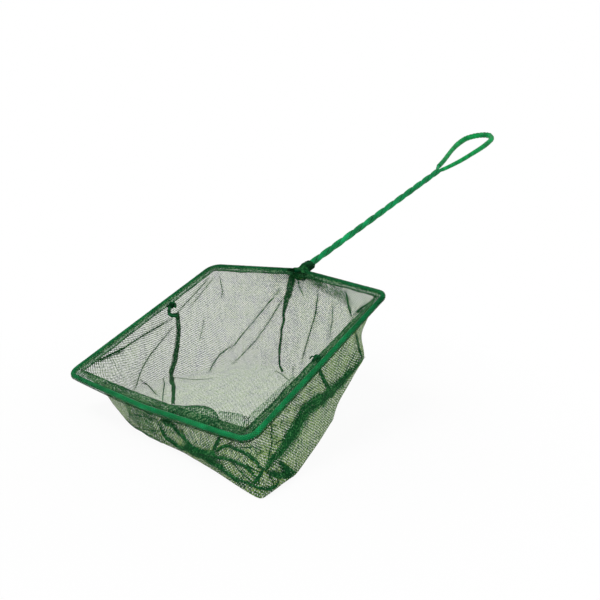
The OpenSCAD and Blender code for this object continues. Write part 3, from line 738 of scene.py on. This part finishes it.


# width, height, bunching, which also paints shade into the fold, how far it pushes the cloth, and the drawn line in the
# picture, x and y in turn
foldLines = [
    (10, 0.7, 0.62, 0.3, [360, 361, 350, 373, 341, 382, 331, 391, 322, 399, 311, 407, 301, 419, 292, 437, 283, 450,
     275, 459]),
    (5.6, 1.4, 1.05, 0.9, [363.4, 357, 357, 365, 350, 372, 342, 380, 332, 388, 325, 396, 317, 401, 306, 409, 298, 421,
     290, 436, 281, 449, 274, 458, 268, 465, 264, 470.5]),
    (3.4, 1, 1.15, 0.5, [352, 371, 341, 384, 329, 396, 316, 405, 304, 417, 296, 432, 285, 447, 276, 458, 271, 463]),
    (2.2, 0.8, 1.1, 0.7, [354.6, 332, 357.3, 342, 359.4, 350, 361.8, 359]),
    (0.82, 0.4, 1.03, 0.2, [354, 354, 348, 366, 345, 373.5]),
    (0.66, 0.3, 1.15, 0.2, [129.5, 405.7, 129.5, 424.8]),
    (9, 0.4, 0.34, 0.1, [124, 404, 140, 411, 158, 419]),
    (9, 0.4, 0.34, 0.1, [130, 416, 144, 424, 160, 433]),
    (2.0, 0.5, 0.85, 0.2, [126, 419, 134, 426.5, 144, 432, 153, 437, 162, 442.5]),
    (0.66, 0.3, 1.15, 0.2, [138.5, 418.5, 139.7, 428.7, 150, 430, 161.4, 431.2, 176.7, 433]),
    (0.74, 0.3, 1.15, 0.2, [129.5, 414, 145, 416.5, 158.9, 419.7]),
    (3.6, 0.9, 1.1, 0.6, [158.9, 421, 162, 429, 166.5, 437.6, 179.3, 446.5, 190, 450, 201, 453]),
    (3.2, 0.9, 1.15, 0.6, [160, 420.5, 166, 421.5, 173.5, 425.8, 179.3, 433.8, 188, 442, 196, 449]),
    (0.82, 0.4, 1.1, 0.2, [181, 427.5, 183, 434.5]),
    (0.82, 0.4, 1.1, 0.3, [233, 441.6, 226, 445.5, 217, 450.5]),
    (0.82, 0.3, 1.03, 0.2, [158.9, 433.8, 166.5, 444]),
    (6.4, 1.5, 1.3, 0.9, [184, 445, 194, 450, 206, 454.5, 220, 459]),
    (4, 1, 1.2, 0.5, [192, 453, 205, 457, 217, 462]),
    (2.6, 0.9, 1.2, 0.5, [213, 452, 218.8, 441.4, 221.4, 433]),
    (2.0, 0.9, 1.2, 0.6, [212, 454, 222.7, 446.5, 230.3, 446, 240.5, 451, 251, 457, 257.7, 461.8, 258.7, 466,
     265.4, 470, 270, 473]),
    (2.2, 0.8, 1.1, 0.4, [212.4, 456.7, 224, 458, 232, 460.5, 239.6, 463.7, 247.2, 467, 252, 472.5, 256.8, 479]),
    (3.6, 1.1, 1.1, 0.8, [206, 459.3, 217.5, 465.5, 228, 472.6, 237, 479, 246, 483]),
    (1.7, 0.8, 1.15, 0.5, [240, 480.5, 249.1, 484, 258.7, 487.6, 268.3, 488.6, 275.9, 486, 279.6, 479]),
    (2.4, 1, 1.2, 0.6, [263, 470, 258.5, 477, 254.5, 483.5]),
    (2.4, 1, 1.2, 0.6, [276, 453, 270.5, 462, 264.6, 470.5]),
    (3.4, 1.2, 1.3, 0.6, [266, 472, 274, 474.5, 284, 476, 293, 475.5]),
    (3.4, 1.4, 1.3, 0.6, [277, 461, 283, 465.5, 289, 470, 294, 473.5]),
    (4.6, 1.4, 1.3, 0.6, [281, 468, 285, 471.5, 289, 474]),
    (0.82, 0.4, 1.03, 0.3, [267, 473, 271, 478, 274, 485]),
    (0.74, 0.4, 1.03, 0.3, [277, 476, 278, 482, 274, 488]),
    (0.66, 0.3, 1.15, 0.2, [271, 421, 271.8, 433, 272, 443.6, 268.3, 457, 266.4, 468]),
    (0.74, 0.3, 0.92, 0.2, [240, 447.5, 254, 447, 261.5, 451.5, 257, 456]),
    (0.66, 0.3, 0.92, 0.2, [273, 446, 279, 441, 286, 439]),
    (0.74, 0.4, 0.92, 0.3, [232, 462, 240, 471, 249, 479, 254, 485]),
    (0.74, 0.4, 0.92, 0.3, [246, 464, 254, 470, 262, 474]),
    (1.07, 0.4, 1.26, 0.3, [171.6, 318.6, 149.3, 331.6, 123.8, 348, 95.7, 362]),
    (2.6, 0.4, 0.62, 0.2, [124, 348.5, 116, 353, 106, 358, 95, 362]),
    (1.7, 0.5, 1.2, 0.2, [374, 300.5, 368, 303.5, 360.5, 309, 354.5, 314.5]),
    (0.82, 0.4, 1.21, 0.3, [173, 327, 164.6, 336.7, 149.3, 356, 141.6, 368.6, 134, 391]),
    (0.74, 0.3, 1.15, 0.3, [208, 279, 195, 293.4, 178.6, 311]),
    (0.57, 0.3, 1.03, 0.2, [213, 278, 203, 291, 191, 306]),
    (0.66, 0.3, 1.03, 0.2, [219.4, 275.5, 222.6, 290.8, 221.4, 298.5]),
    (0.57, 0.2, 0.69, 0.1, [204, 319, 202, 329, 200, 339]),
    (0.66, 0.3, 1.09, 0.2, [279.8, 289.8, 268.6, 303, 255.3, 319.4, 245, 331.6, 237, 341.5, 230, 350.5]),
    (0.82, 0.4, 1.26, 0.3, [232, 345.7, 219.4, 354.6, 213, 364, 209.2, 372.4]),
    (0.66, 0.3, 1.03, 0.2, [283.9, 297, 276, 310, 268.6, 322.4, 255.3, 340.8, 240, 357, 232.2, 363.5]),
    (1.07, 0.5, 1.21, 0.3, [318.6, 288.8, 317.6, 299, 315.5, 315.3, 310.4, 331.6, 306.3, 345, 302.2, 361]),
    (0.66, 0.3, 1.03, 0.2, [333.4, 301, 332.3, 321.4, 329.8, 337.8]),
    (1.8, 0.6, 1.05, 0.3, [345.6, 290, 347, 297, 349.2, 307, 352.2, 318]),
    (1.8, 0.4, 0.6, 0.2, [357.3, 315.3, 365.5, 305, 373.7, 300]),
    (0.66, 0.3, 0.69, 0.1, [172, 377.5, 194, 380, 211.8, 378.8]),
    (0.82, 0.4, 1.03, 0.2, [140.4, 380, 149.3, 386.5, 158.2, 396.7]),
    (0.82, 0.4, 1.03, 0.2, [163.3, 378.8, 164.6, 385, 162.7, 397, 163, 404]),
    (0.74, 0.4, 1.03, 0.2, [275.7, 371.4, 281.8, 374.5, 290, 381.6]),
    (0.66, 0.3, 1.03, 0.1, [293.6, 367.3, 292.6, 377.6]),
    # the two broad soft folds from the throat, 8 and 5 wide, are bunched net and also a painted soft shadow
    (8, 0.7, 0.34, 0.3, [308, 277, 316, 282, 325, 287, 335, 292, 345, 298, 352, 306]),
    (1.4, 0.4, 0.7, 0.2, [316, 277, 326, 282, 336, 288]),
    (5, 0.6, 0.4, 0.3, [305, 275.5, 312, 279, 318, 282, 326, 287]),
    (1.4, 0.4, 0.7, 0.2, [297, 276, 299, 285, 304, 296]),
    (4.6, 0.8, 1.2, 0.3, [291, 274, 298, 275.5, 306, 276.5, 313, 277.5, 320, 280]),
]
# the same without the last two, with the node each stands for and its widths along the line
seamLines = [
    ("leftSeam", "left_seam", 4.4, 1.2, [1.05, 1, 1, 0.85, 0.6, 0.62], [176, 312, 177.5, 316, 178, 326.5, 178, 339,
     175.4, 358, 172.2, 369, 170.2, 376, 172.9, 383, 173.5, 390, 173.4, 398, 173.2, 405.5]),
    ("rightSeam", "right_seam", 4.2, 1.1, [0.8, 0.9, 0.85], [317.6, 367, 321.6, 375.5, 326.7, 386.7, 331.5, 396]),
    ("throatPleat", "throat_pleat", 5.4, 1.2, [1.0, 1.15, 0.9, 0.5, 0.42, 0.4, 0.42, 0.38, 0.4], [293, 271, 292, 280.6,
     290, 288, 288, 295, 286, 303, 284, 313, 284, 321, 281.3, 331.6, 280.8, 342, 279.3, 357, 279.8, 365, 283, 373]),
]


# a pixel, how many pixels to the right, and over how many millimetres
nudges = [(352, 356, 11, 16), (344, 383, 4, 14), (374, 342, -5, 10)]


def nudgePanels():  # the side of the bag that the picture shows in outline
    moves = []
    for x, y, shift, reach in nudges:
        ray = sightLine(x, y)
        near = max((v.co for piece in panels for v in piece.data.vertices),
                   key=lambda co: (co - camera.location).normalized().dot(ray))
        moves.append((near.copy(), rightward * shift * (near - camera.location).length / lens["focal"], reach * 0.001))
    for piece in panels:
        for vert in piece.data.vertices:
            vert.co += sum((move * exp(-((vert.co - at).length / reach) ** 2)
                            for at, move, reach in moves), Vector())


nudgePanels()
cloth = clothTree()


def creasePanels():  # bunch the net along the folds, which also paints shade into them, and push it out there
    marks = []
    for width, height, dark, push, pixels in foldLines:
        marks += [(p, n, width, dark * 0.28, push) for p, n in onCloth(pixels, 2.0)]
    tree = KDTree(len(marks))
    for i, mark in enumerate(marks):
        tree.insert(mark[0], i)
    tree.balance()
    for piece in panels:
        gatherAndShade = piece.data.attributes["gatherAndShade"].data
        for vert in piece.data.vertices:
            bunch, reach, towards = 0.0, 0.0, None
            for co, i, distance in tree.find_range(vert.co, 0.008):
                p, n, width, dark, push = marks[i]
                near = exp(-(distance * 1000 / (width * 0.6 + 0.8)) ** 2)
                bunch = max(bunch, dark * near)
                if push * near > reach:
                    reach, towards = push * near, n
            gatherAndShade[vert.index].value = min(1.0, gatherAndShade[vert.index].value + bunch)
            if towards:
                vert.co += towards * reach * 0.001
                vert.co.z = max(vert.co.z, onTable((0, 0, tableHeight + bag["offTable"])).z)


creasePanels()
cloth = clothTree()
clothFolds = join("clothFolds", [
    strip("fold", pixels, width, height, dark, i * 3.7, 11 if width > 3 else 7)
    for i, (width, height, dark, push, pixels) in enumerate(foldLines)
])
finishPiece(clothFolds, shadedPleatNet)
for name, node, width, height, widths, pixels in seamLines:
    seam = strip(name, pixels, width, height, 1.35, 40.0, 9, 1.0, widths)
    finishPiece(seam, shadedPleatNet, [node])


# loose hem cloth that billows in over the opening
def flapSheet(lower, upper, rows, heaped, edgeDark, bodyDark):
    count = 28
    ends = []
    for line in (lower, upper):
        line = [Vector(p) for p in line]
        travel = lengths(line)
        ends.append([along(line, travel, travel[-1] * k / count) for k in range(count + 1)])
    verts, plans, gathersAndShade = [], [], []
    for k in range(count + 1):
        for j in range(rows + 1):
            share = j / rows
            pixel = ends[0][k].lerp(ends[1][k], share)
            ripple = 0.4 * wobble(k * 0.35, share * 1.5, heaped)
            plan, at = onRim(pixel.x, pixel.y, 0.5 + heaped * sin(pi * share) ** 0.7 + ripple * share)
            verts.append(at)
            plans.append(plan)
            grain = 0.3 * wobble(k * 0.5, share * 2.5, 4)
            gathersAndShade.append(clamped(edgeDark if share > 0.86 else bodyDark + grain))
    faces, uvs = gridFaces(count, rows, lambda a, b, row: plans[a * (rows + 1) + b], flapOrder)
    return newPiece("flap", verts, faces, uvs, gathersAndShade)


darkFlap = flapSheet(
    [(168, 411.5), (183, 416.6), (195.9, 421), (208, 425), (223, 429.5)],
    [(168, 404.6), (171.6, 404.4), (183, 405.7), (195.9, 405), (204.8, 405.7), (212.4, 408.3), (217.5, 413.4),
     (220, 421), (223, 428)], 10, 1.4, 1.0, 0.6)
paleFlap = flapSheet(
    [(219, 425.5), (230, 428), (238, 430), (246, 432)],
    [(218.5, 410.8), (224, 411.2), (230.3, 412), (237, 413), (243, 414.6), (246, 418)], 10, 0.8, 0.3, 0.02)
sideFlap = flapSheet(
    [(247, 428.5), (254.5, 422), (262, 414.5), (271.5, 403), (284, 390.5), (297, 377)],
    [(247, 419.5), (250, 414.5), (256, 408.5), (265, 401), (278, 389), (293, 376)], 8, 0.5, 0.12, 0.02)
finishPiece(join("hemFlap", [darkFlap, paleFlap, sideFlap]), hemNet)


# ---- stitches along the hem's sewn edge, each shaped where it sits
def hemStitches():
    route = [(-0.6, 0.3), (0.1, 0.55), (0.75, 0.1), (0.1, -0.5), (-0.6, -0.3)]
    made = bmesh.new()
    step, sides = hem["stitch"], 5
    for i in range(int((hemTravel[-1] - hemTravel[0]) / step)):
        s = hemTravel[0] + step * (i + 0.5)
        j = max(k for k, t in enumerate(hemTravel) if t <= s)
        (p, n), (q, m) = hemLine[j:j + 2]
        share = (s - hemTravel[j]) / (hemTravel[j + 1] - hemTravel[j])
        at, inward = p.lerp(q, share), n.lerp(m, share).normalized()
        way = Vector((inward.y, -inward.x))
        sewn = min(ringValue(hem["edge"], s) - hem["sewn"] + 0.5 * hemWave(s, 1), hemTight[j] - 0.5)
        lift = hem["ruffle"] * hemWave(s, 2) * 1.8
        previous = None
        for k, (a, z) in enumerate(route):
            slant = (k / (len(route) - 1) - 0.5) * step * 0.9
            ring = []
            for side in range(sides):
                t = 2 * pi * side / sides
                b, c = cos(t) * hem["thread"], sin(t) * hem["thread"]
                reach = sewn + a + b * (0.4 if k != 2 else 1)
                x = at.x + inward.x * reach + way.x * (slant + b * 0.9)
                y = at.y + inward.y * reach + way.y * (slant + b * 0.9)
                ring.append(made.verts.new(place(x, y, z + lift + c)))
            if previous:
                for side in range(sides):
                    after = (side + 1) % sides
                    made.faces.new((previous[side], ring[side], ring[after], previous[after]))
            else:
                made.faces.new(ring)
            previous = ring
        made.faces.new(previous[::-1])
    bmesh.ops.recalc_face_normals(made, faces=made.faces)
    mesh = bpy.data.meshes.new("hemStitches")
    made.to_mesh(mesh)
    made.free()
    return newObject("hemStitches", mesh)


finishPiece(hemStitches(), sewingThread, ["front_hem_stitching", "back_hem_stitching"])


# ---- knots, thread ends and the whipping
# four lumpy turns at a point of the picture, over the rim's plane, and the tails that hang from them
def knotPiece(name, x, y, lift, tails, size, seed, thick=1.0):
    at, paths, steps = Vector((*onRim(x, y, 0.8)[0], lift)), [], 42
    for turn in range(4):
        path = []
        for k in range(steps):
            a = 2 * pi * k / steps
            r = size * (0.55 + 0.3 * cos(3 * a + turn * 1.3))
            q = Vector((r * 1.25 * cos(2 * a + turn), r * sin(2 * a + turn), 0.5 * size * sin(3 * a + turn)))
            q += Vector((wobble(k * 0.3, turn, seed), wobble(turn, k * 0.3, seed), 0)) * 0.5
            path.append(place(at.x + q.x, at.y + q.y, at.z + q.z))
        paths.append(path)
    radii = [[1.0] * len(path) for path in paths] + [[thick] * len(tail) for tail in tails]
    return threadTube(name, paths + tails, 0.00045, 8, radii)


def eased(points, steps=5):
    line = []
    for a, b in zip(points, points[1:]):
        line += [a.lerp(b, k / steps) for k in range(steps)]
    line.append(points[-1])
    for turn in range(2):
        line = [line[0]] + [(a + b * 2 + c) / 4 for a, b, c in zip(line, line[1:], line[2:])] + [line[-1]]
    return line


def drawnThreads(*lines):  # x, y in the picture and height over the rim's plane
    return [eased([onRim(x, y, lift)[1] for x, y, lift in points]) for points in lines]


def finishThread(piece, *nodes):
    finishPiece(piece, sewingThread, nodes)


leftTails = drawnThreads(
    [(171, 305, 0.8), (169.7, 309, 0.4), (169.5, 314, -0.6), (173, 314.6, -1.6), (177, 314, -2.6)],
    [(170, 306, 1.2), (168.4, 310, 0.6), (168.8, 314.5, -0.4), (172, 316.2, -1.4), (177.4, 316, -2.6)],
    [(169, 304, 1.0), (173, 302.6, 1.4), (175.6, 304.4, 1.2), (175.2, 307, 0.8)],
)
finishThread(knotPiece("leftSeamKnot", 171, 305, 0.7, leftTails, 2.6, 1, 1.9), "left_seam_knot")
rightTails = drawnThreads(
    [(316, 358, 0.9), (312, 356, 1.3), (309.5, 358.5, 0.7)], [(317, 360, 0.6), (318, 364, -0.8), (319, 368, -2.6)],
)
finishThread(knotPiece("rightSeamKnot", 316.4, 358, 0.6, rightTails, 2.3, 2), "right_seam_knot")
tuft = drawnThreads(
    [(244, 431, 0.6), (243.4, 426, 0.9), (244.6, 421, 1.5), (243.6, 416.5, 1.9), (246, 416, 1.9), (247.5, 419, 1.5),
     (248.8, 417.5, 1.3)],
    [(245.5, 432, 0.6), (246.4, 427, 1.0), (247, 422, 1.5), (245.6, 418.5, 1.8)],
    [(247, 430, 0.6), (248.6, 424, 1.0), (248.2, 419, 1.5), (250, 417, 1.6)],
)
finishThread(threadTube("threadEnd", tuft, 0.0002, 6), "thread_end")

whipping = {
    "from": 4.4, "turns": 6, "rise": 0.95, "thread": 0.66, "wide": 3.7, "high": 3.1, "aside": -0.8,
    "rings": 30, "crossFrom": 3.0, "crossLength": 7, "crossWide": 4.1, "crossHigh": 3.3, "crossSteps": 33,
}


def whippingPaths():
    paths = [[]]
    for k in range(int(whipping["turns"] * whipping["rings"]) + 1):
        a = 2 * pi * k / whipping["rings"]
        u = whipping["from"] + whipping["rise"] * k / whipping["rings"] + 0.25 * wobble(k * 0.13, 0, 0)
        swell = 1 + 0.07 * wobble(k * 0.2, 5, 0)
        v = whipping["aside"] + whipping["wide"] * cos(a) * swell
        paths[0].append(onHandle(u, v, whipping["high"] * sin(a) * swell))
    for side in (1, -1):
        paths.append([])
        for k in range(whipping["crossSteps"] + 1):
            a = pi * k / whipping["crossSteps"]
            v = whipping["aside"] + side * whipping["crossWide"] * cos(a)
            u = whipping["crossFrom"] + whipping["crossLength"] * k / whipping["crossSteps"]
            paths[-1].append(onHandle(u, v, whipping["crossHigh"] * sin(a) + 0.2))
    return paths


finishThread(threadTube("throatWhipping", whippingPaths(), whipping["thread"] / 2000, 8), "throat_whipping")


collar = {  # each bead's height, place and breadth
    "from": -4.8, "length": 15.6, "rings": 26, "sides": 60, "radius": 3.25, "flareTo": 1.5, "flare": 0.55,
    "beads": [(0.55, 2.8, 1.1), (0.35, 10.0, 0.8)], "endFrom": 9.9, "endSlope": 1.1, "pleats": 9,
}


def throatCloth():  # the two ends of the hem, drawn together round the leads and tied
    verts, gathersAndShade = [], []
    rings, sides = collar["rings"], collar["sides"]
    for i in range(rings):
        u = collar["from"] + collar["length"] * i / (rings - 1)
        flare = max(0.0, collar["flareTo"] - u) ** 1.2 * collar["flare"]
        size = collar["radius"] + sum(height * exp(-((u - at) / wide) ** 2) for height, at, wide in collar["beads"])
        size -= max(0.0, u - collar["endFrom"]) * collar["endSlope"]
        for k in range(sides):
            a = 2 * pi * k / sides
            lumps = 0.1 * wobble(cos(a) * 1.6, sin(a) * 1.6, u * 0.5)
            pleat = 1 + 0.08 * sin(collar["pleats"] * a + u * 0.7) + lumps
            v = whipping["aside"] + (size + flare * 1.3) * cos(a) * pleat
            verts.append(onHandle(u, v, (size - 0.55 + flare * 0.3) * sin(a) * pleat))
            gathersAndShade.append(1.2 + 0.1 * sin(collar["pleats"] * a))
    faces, uvs = gridFaces(rings - 1, sides, lambda a, b, row: (b * 0.3, a * 0.55), acrossFirst, closed=True)
    return newPiece("throatCloth", verts, faces, uvs, gathersAndShade)


finishPiece(throatCloth(), shadedPleatNet, ["throat_gather"])


# ---- floor, backdrop and light
def seenDirectly(tree):
    path = addNode(tree, "LightPath")
    return mathNode(tree, "MAXIMUM", path.outputs["Is Camera Ray"], path.outputs["Is Transmission Ray"])


def floorShader(tree):
    far = addNode(tree, "VectorMath", {0: objectPlace(tree)}, operation="LENGTH")
    glow = rangeNode(tree, far.outputs["Value"], 0.1, 0.26, 0.92, 1, interpolation_type="SMOOTHSTEP")
    return addNode(tree, "MixShader", {
        0: mathNode(tree, "MULTIPLY", seenDirectly(tree), glow),
        1: addNode(tree, "BsdfDiffuse", {"Color": (0.93, 0.93, 0.93, 1)}),
        2: addNode(tree, "Emission", {"Color": (1, 1, 1, 1), "Strength": 1.0}),
    })


bpy.ops.mesh.primitive_plane_add(size=8, location=onTable((-70, 0, tableHeight - 0.2)))
floor = bpy.context.view_layer.objects.active
floor.name = "floor"
floor.data.materials.append(newMaterial("paleFloor", floorShader))

world = bpy.data.worlds.new("studio")
scene.world = world
world.use_nodes = True
tree = world.node_tree
tree.nodes.clear()
addNode(tree, "OutputWorld", {"Surface": addNode(tree, "MixShader", {
    0: seenDirectly(tree),
    1: addNode(tree, "Background", {"Color": (1, 1, 1, 1), "Strength": 0.5}),
    2: addNode(tree, "Background", {"Color": (1, 1, 1, 1), "Strength": 1.0}),
})})


def lamp(name, at, size, power):
    data = bpy.data.lights.new(name, "AREA")
    data.shape, data.size, data.energy = "SQUARE", size, power
    light = newObject(name, data)
    light.location = at
    light.rotation_euler = (Vector((-0.05, 0, -0.05)) - Vector(at)).to_track_quat("-Z", "Y").to_euler()


lamp("keyLight", (-0.5, 0.35, 0.9), 0.5, 5.0)
lamp("fillLight", (-0.3, -0.9, 0.6), 0.8, 2.6)

scene.view_settings.view_transform = "Standard"
scene.cycles.transparent_max_bounces = 40

print("scene ready")
